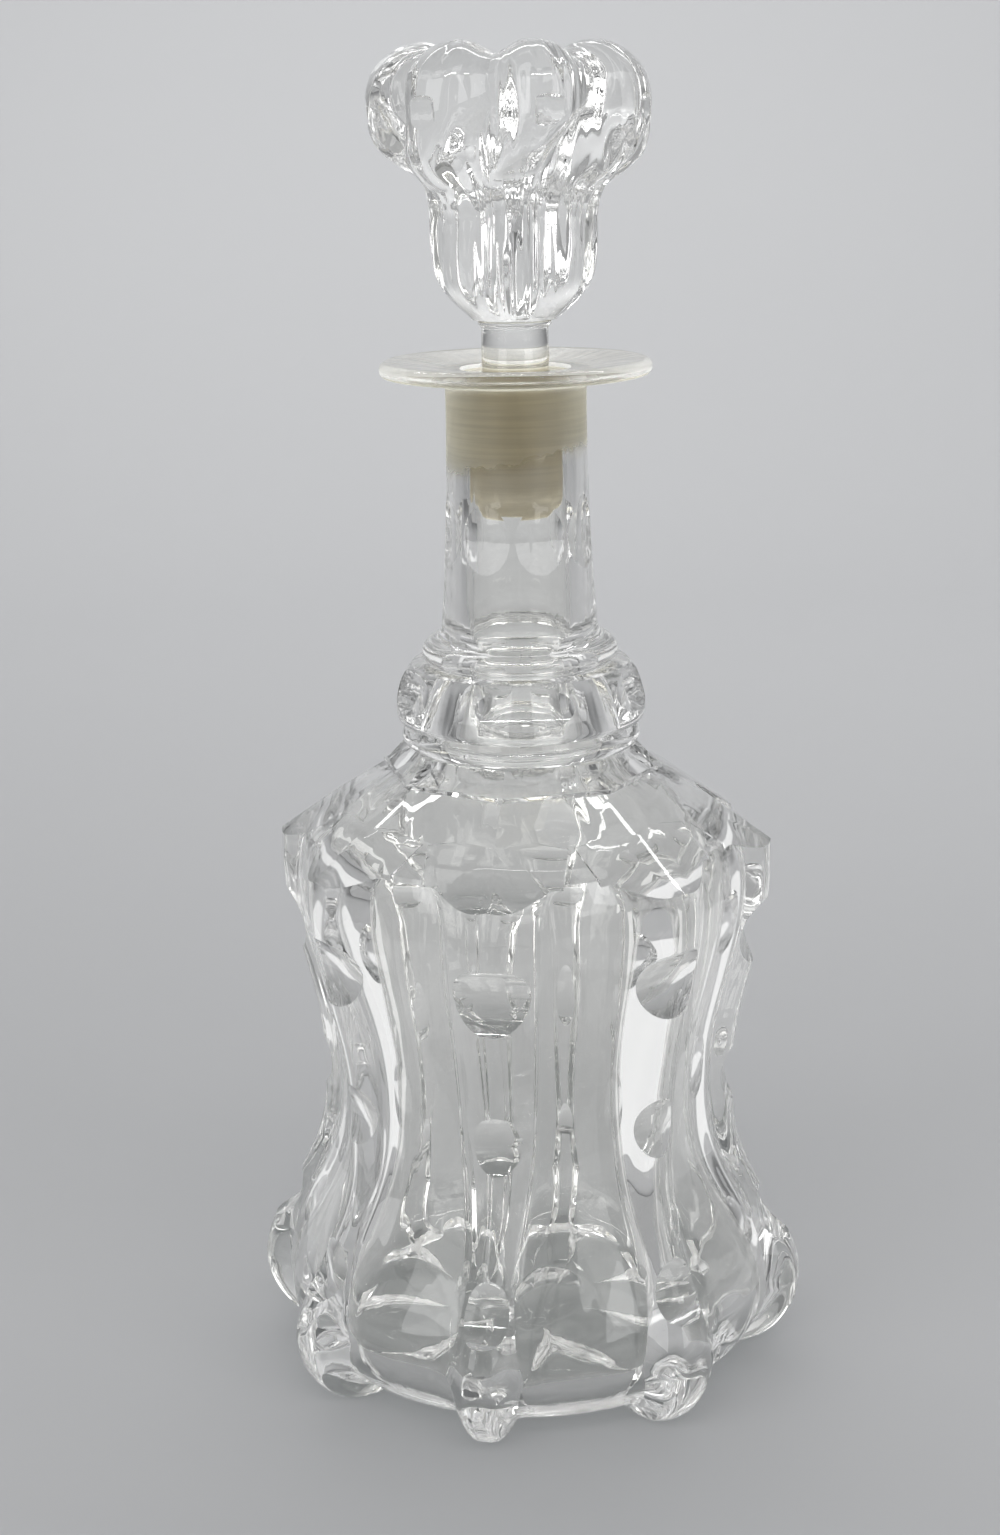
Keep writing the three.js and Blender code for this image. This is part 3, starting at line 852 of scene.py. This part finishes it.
def vessel_outside():
    """The vessel before it is cut: the bell with its pillars and feet, collar, neck and lip."""
    rows = base_rows()
    under = len(rows)
    rows += wall_rows() + dome_rows()
    rows += plain_rows(collar_points() + neck_points() + lip_points())

    def place(number, azimuth):
        ring = rows[number]
        if ring["floor"] == ring["crest"] and number >= under:
            radius, z = ring["crest"]
            return polar(radius, azimuth, z)
        vert = ribbed_place(ring, azimuth, PITCH, pillar_rise, pillar_edge, FOOT_DRIFTS)
        if vert.z < FOOT_Z and number < under:
            vert.z += petal_rise(vert)
        return vert

    return spun([ring["crest"] for ring in rows], BELL_COLUMNS, place)


def make_vessel(material):
    vessel = mesh_object("vessel_glass", vessel_outside())
    cut(vessel, ground_cutter(), LAP_CUT)
    cut(vessel, shoulder_cutter(), SHOULDER_CUT)
    cut(vessel, copies(roof_cutter(), PILLARS), ROOF_CUT)
    for notch in NOTCHES:
        cut(vessel, copies(notch_cutter(*notch), PILLARS), NOTCH_CUT)
    cut(vessel, copies(collar_oval_cutter(), COLLAR_OVALS, COLLAR_TURN), COLLAR_CUT)
    cut(vessel, copies(neck_oval_cutter(), NECK_OVALS, NECK_TURN), NECK_CUT)
    cut(vessel, cavity_cutter(), UNCUT)
    for chip in VESSEL_CHIPS:
        cut(vessel, chip_cutter(*chip), CHIP_CUT)
    finish_glass(vessel, VESSEL_CREASE, material)
    return vessel


def head_twist(share):
    """How far the ridges are swung round at a share of the head's height."""
    (head, head_start, head_run), (bulb, bulb_start, bulb_run) = HEAD_SWINGS
    swing = -head * smoothstep((head_start - share) / head_run)
    return swing - bulb * smoothstep((bulb_start - share) / bulb_run)


def sway(azimuth, share):
    """The bend between the bulb and the bulge isn't level all round, as the head is hand-worked."""
    wave = HEAD_SWAY * math.sin(SWAY_WAVES * azimuth + SWAY_START)
    return wave * smoothstep(share / SWAY_IN) * smoothstep((SWAY_TOP - share) / SWAY_OUT)


def head_rows(steps=84):
    """The head from the stem to the crown, whose ridges stray less and less towards the stem."""
    rows = []
    for i in range(steps + 1):
        crest_r, crest_z = spline(RIDGE_SHARES, i / steps)
        floor_r, floor_z = spline(FLUTE_SHARES, i / steps)
        crest = (max(crest_r, 0) * HEAD_R, HEAD_Z + crest_z * HEAD_H)
        floor = (max(floor_r, 0) * HEAD_R, HEAD_Z + floor_z * HEAD_H)
        stray = smoothstep(crest_z * 2)
        rows.append(row(floor, crest, 0, 0, drift=stray, twist=head_twist(crest_z)))
    rows[-1]["floor"] = rows[-1]["crest"]
    return rows


def peg_points(taper_steps=6):
    """The ground peg, which tapers like its seat, and the stem."""
    slope = (MOUTH_R - THROAT_R) / SEAT_LENGTH
    top = MOUTH_R - SEAT_GAP - slope * PEG_DROP
    bottom_z = PEG_Z - PEG_LENGTH
    low = top - slope * (PEG_LENGTH - PEG_ROUND)
    points = [(0, bottom_z)]
    points += arc(low - PEG_ROUND, bottom_z + PEG_ROUND, PEG_ROUND, PEG_ROUND, -1, 0, 10)
    for i in range(1, taper_steps + 1):
        share = i / taper_steps
        points.append((lerp(low, top, share), lerp(bottom_z + PEG_ROUND, PEG_Z - BEAD, share)))
    points += arc(top - BEAD, PEG_Z - BEAD, BEAD, BEAD, 0.1, 1, 4)
    points += arc(STEM_R + BEAD, PEG_Z + BEAD, -BEAD, -BEAD, 1, 0, 4)
    points += [(STEM_R, lerp(PEG_Z, HEAD_Z, 0.5)), (STEM_R, HEAD_Z - 3 * BEAD)]
    points += arc(STEM_R, HEAD_Z - BEAD, BEAD, BEAD, -0.8, 0.8, 6)
    return points


def ridge_rise(share, _):
    if share < 1:
        return 1 - share ** RIDGE_ROUND * RIDGE_FALL
    return (2 - share) ** RIDGE_FLUTE_ROUND * (1 - RIDGE_FALL)


def ridge_edge(_):
    return RIDGE_HALF * RIDGE_PITCH


def stopper_outside():
    rows = plain_rows(peg_points()) + head_rows()

    def place(number, azimuth):
        ring = rows[number]
        if ring["floor"] == ring["crest"]:
            radius, z = ring["crest"]
            return polar(radius, azimuth, z)
        vert = ribbed_place(ring, azimuth, RIDGE_PITCH, ridge_rise, ridge_edge, RIDGE_DRIFTS)
        vert.z += sway(azimuth, (vert.z - HEAD_Z) / HEAD_H)
        return vert

    return spun([ring["crest"] for ring in rows], STOPPER_COLUMNS, place)


def make_stopper(material):
    stopper = mesh_object("stopper_glass", stopper_outside())
    point = (HEAD_R, HEAD_Z + HEAD_H - RIDGE_NOTCH_DROP)
    notch = wheel(point, 0, RIDGE_NOTCH_R, RIDGE_NOTCH_DEPTH, RIDGE_NOTCH_HALF)
    cut(stopper, copies(notch, RIDGES), NOTCH_CUT)
    stopper.data.transform(Matrix.Rotation(RIDGE_TURN, 4, "Z"))
    cut(stopper, chip_cutter(*STOPPER_CHIP), CHIP_CUT)
    finish_glass(stopper, STOPPER_CREASE, material)
    return stopper


class Value:
    """A shader socket that sums are written on."""

    def __init__(self, shader, socket):
        self.shader = shader
        self.socket = socket

    def math(self, operation, *others):
        return self.shader.sum(operation, self, *others)

    def __add__(self, other):
        return self.math("ADD", other)

    __radd__ = __add__

    def __sub__(self, other):
        return self.math("SUBTRACT", other)

    def __rsub__(self, other):
        return self.shader.sum("SUBTRACT", other, self)

    def __mul__(self, other):
        return self.math("MULTIPLY", other)

    def __truediv__(self, other):
        return self.math("DIVIDE", other)

    def step(self, low, high):
        """0 below low, 1 above high, and smooth between them."""
        inputs = {"Value": self, "From Min": low, "From Max": high}
        made = self.shader.node("ShaderNodeMapRange", inputs, interpolation_type="SMOOTHSTEP")
        return made["Result"]


class Shader:
    """A node tree of a material, or of the world."""

    def __init__(self, owner):
        owner.use_nodes = True
        self.tree = owner.node_tree
        self.tree.nodes.clear()

    def fill(self, made, inputs):
        """Gives a node's sockets their values or links."""
        for name, value in inputs.items():
            if isinstance(value, Value):
                self.tree.links.new(value.socket, made.inputs[name])
            else:
                made.inputs[name].default_value = value

    def node(self, kind, inputs=None, **settings):
        """Adds one node and gives its outputs by name. Of outputs that share one, the first."""
        made = self.tree.nodes.new(kind)
        for name, setting in settings.items():
            setattr(made, name, setting)
        self.fill(made, inputs or {})
        return {output.name: Value(self, output) for output in reversed(made.outputs)}

    def sum(self, operation, *values):
        return self.node("ShaderNodeMath", dict(enumerate(values)), operation=operation)["Value"]

    def noise(self, place, scale, detail):
        inputs = {"Vector": place, "Scale": scale, "Detail": detail}
        return self.node("ShaderNodeTexNoise", inputs)["Fac"]

    def mix(self, factor, low, high):
        """A colour between two colours."""
        made = self.tree.nodes.new("ShaderNodeMix")
        made.data_type = "RGBA"
        self.fill(made, {0: factor, 6: low, 7: high})
        return Value(self, made.outputs[2])


def ground_share(shader, place, axes, zone):
    """1 on ground glass and 0 on polished glass. The zone starts raggedly, and on a slant."""
    low, high, soft = zone
    cloud = shader.noise(place, *CLOUD)
    ragged = axes["Z"] + (cloud - 0.5) * (soft * 2) - axes["X"] * GROUND_SLANT
    return ragged.step(low - soft, low + soft) * (1 - axes["Z"].step(high, high + MM / 2))


def glass_colour(shader, place, ground, ground_colour):
    inputs = {0: place, 1: LAP_STRETCH}
    flat = shader.node("ShaderNodeVectorMath", inputs, operation="MULTIPLY")["Vector"]
    lines = shader.noise(flat, *LAP_LINES).step(*LAP_RANGE)
    shade = tuple(LAP_SHADE * part for part in ground_colour[:3]) + (1,)
    return shader.mix(ground, GLASS_TINT, shader.mix(lines, ground_colour, shade))


def streaks(shader, axes, start, depth):
    """Height of the streaks, which are drawn out along the axis and come in above a height."""
    x, y, z = axes["X"], axes["Y"], axes["Z"]
    around = (x * x + y * y).math("SQRT") + MM / 10
    wrapped = shader.node("ShaderNodeCombineXYZ", {
        "X": x / around * STREAKS_ROUND, "Y": y / around * STREAKS_ROUND, "Z": z * STREAKS_ALONG,
    })["Vector"]
    return shader.noise(wrapped, *STREAKS) * z.step(start, start + STREAKS_IN) * depth


def glass(name, zone, ground_colour, streaks_from, streak_depth):
    """Old lead glass, polished but for a ground zone between two heights."""
    material = bpy.data.materials.new(name)
    shader = Shader(material)
    place = shader.node("ShaderNodeTexCoord")["Object"]
    axes = shader.node("ShaderNodeSeparateXYZ", {"Vector": place})
    ground = ground_share(shader, place, axes, zone)
    smear = shader.noise(place, *SMEAR).step(*SMEAR_RANGE)
    roughness = smear * SMEAR_ROUGHNESS + ground * ground * GROUND_ROUGHNESS
    grain = shader.noise(place, *GRAIN) * ground * GROUND_DEPTH
    height = grain + streaks(shader, axes, streaks_from, streak_depth)
    bump = shader.node("ShaderNodeBump", {"Strength": 1, "Distance": 1, "Height": height})
    surface = shader.node("ShaderNodeBsdfPrincipled", {
        "Base Color": glass_colour(shader, place, ground, ground_colour),
        "Roughness": roughness, "IOR": GLASS_INDEX, "Transmission Weight": 1.0,
        "Normal": bump["Normal"],
    })["BSDF"]
    lamp_ray = shader.node("ShaderNodeLightPath")["Is Shadow Ray"]
    clear = shader.node("ShaderNodeBsdfTransparent", {"Color": GLASS_SHADE})["BSDF"]
    both = shader.node("ShaderNodeMixShader", {0: lamp_ray, 1: surface, 2: clear})["Shader"]
    shader.node("ShaderNodeOutputMaterial", {"Surface": both})
    return material


def floor_material():
    material = bpy.data.materials.new("pale_floor")
    shader = Shader(material)
    surface = shader.node("ShaderNodeBsdfPrincipled", {
        "Base Color": FLOOR_COLOUR, "Roughness": FLOOR_ROUGHNESS,
        "Specular IOR Level": FLOOR_SHINE,
    })["BSDF"]
    shader.node("ShaderNodeOutputMaterial", {"Surface": surface})
    return material


def sweep_points(steps=12):
    """The sweep from the side: floor, bend and backdrop."""
    points = [(SWEEP_NEAR, 0), (SWEEP_FAR - SWEEP_BEND, 0)]
    for i in range(1, steps + 1):
        angle = QUARTER * i / steps
        y = SWEEP_FAR - SWEEP_BEND + SWEEP_BEND * math.sin(angle)
        points.append((y, SWEEP_BEND - SWEEP_BEND * math.cos(angle)))
    return points + [(SWEEP_FAR, SWEEP_HEIGHT)]


def make_floor():
    """A pale sweep: a floor that curves up into a backdrop behind the object."""
    bm = bmesh.new()
    verts = [bm.verts.new((-SWEEP_WIDTH / 2, y, z)) for y, z in sweep_points()]
    edges = [bm.edges.new(pair) for pair in zip(verts, verts[1:])]
    far_side = verts_of(bmesh.ops.extrude_edge_only(bm, edges=edges))
    bmesh.ops.translate(bm, verts=far_side, vec=(SWEEP_WIDTH, 0, 0))
    for face in bm.faces:
        face.smooth = True
    bmesh.ops.recalc_face_normals(bm, faces=bm.faces)
    floor = mesh_object("floor", bm)
    floor.data.materials.append(floor_material())
    floor.data.transform(Matrix.Rotation(VIEW_TURN, 4, "Z"))


def make_camera():
    data = bpy.data.cameras.new("camera")
    data.sensor_width = SENSOR
    data.lens = SENSOR * FOCAL_PIXELS / FRAME_HEIGHT
    camera = bpy.data.objects.new("camera", data)
    bpy.context.scene.collection.objects.link(camera)
    camera.matrix_world = (
        Matrix.Rotation(VIEW_TURN, 4, "Z")
        @ Matrix.Translation((CAMERA_SIDE, -CAMERA_BACK, CAMERA_UP))
        @ Matrix.Rotation(math.radians(90) - CAMERA_PITCH, 4, "X")
        @ Matrix.Rotation(-CAMERA_ROLL, 4, "Z")
    )
    bpy.context.scene.camera = camera


def area_light(name, width, height, watts, placed):
    data = bpy.data.lights.new(name, "AREA")
    data.shape = "RECTANGLE"
    data.size = width
    data.size_y = height
    data.energy = watts
    light = bpy.data.objects.new(name, data)
    bpy.context.scene.collection.objects.link(light)
    light.matrix_world = placed


def make_lamp(name, place, target, width, height, watts):
    """A soft lamp that stands at a place of the view and shines at a target."""
    turned = Matrix.Rotation(VIEW_TURN, 4, "Z") @ Vector(place)
    aim = Vector(target) - turned
    facing = aim.to_track_quat("-Z", "Y").to_matrix().to_4x4()
    area_light(name, width, height, watts, Matrix.Translation(turned) @ facing)


def make_table_light(name, side):
    """A soft light on the floor beside the view that shines up, for the pillars' flanks."""
    placed = (
        Matrix.Rotation(VIEW_TURN, 4, "Z")
        @ Matrix.Translation((side * TABLE_LIGHT_SIDE, 0, MM))
        @ Matrix.Rotation(-side * VIEW_SPREAD, 4, "Z")
        @ Matrix.Translation((side * TABLE_LIGHT_WIDTH / 2, 0, 0))
        @ Matrix.Rotation(math.pi, 4, "X")
    )
    area_light(name, TABLE_LIGHT_WIDTH, TABLE_LIGHT_LENGTH, TABLE_LIGHT_WATTS, placed)


def make_world():
    world = bpy.data.worlds.new("studio")
    bpy.context.scene.world = world
    shader = Shader(world)
    rays = shader.node("ShaderNodeLightPath")
    seen = rays["Is Camera Ray"].math("MAXIMUM", rays["Is Glossy Ray"])
    seen = seen.math("MAXIMUM", rays["Is Transmission Ray"])
    inputs = {"Color": SKY_COLOUR, "Strength": SKY_LIGHT + seen * SKY_SEEN}
    sky = shader.node("ShaderNodeBackground", inputs)["Background"]
    shader.node("ShaderNodeOutputWorld", {"Surface": sky})


def set_up_render():
    scene = bpy.context.scene
    scene.view_settings.view_transform = "Standard"
    scene.cycles.max_bounces = GLASS_BOUNCES
    scene.cycles.transmission_bounces = GLASS_BOUNCES
    scene.cycles.glossy_bounces = MIRROR_BOUNCES
    scene.cycles.caustics_refractive = False
    scene.cycles.caustics_reflective = False


set_up_render()
make_camera()
make_world()
make_floor()
for name, lamp in LAMPS.items():
    make_lamp(name, *lamp)
make_table_light("left_table_light", -1)
make_table_light("right_table_light", 1)

vessel = make_vessel(glass("vessel_lead_glass", SEAT_ZONE, SEAT_COLOUR, FOOT_Z, VESSEL_STREAKS))
stopper = make_stopper(glass("stopper_lead_glass", PEG_ZONE, PEG_COLOUR, HEAD_Z, STOPPER_STREAKS))
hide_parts("decanter_body")
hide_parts("stopper")
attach(vessel, "vessel")
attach(stopper, "loose_stopper")
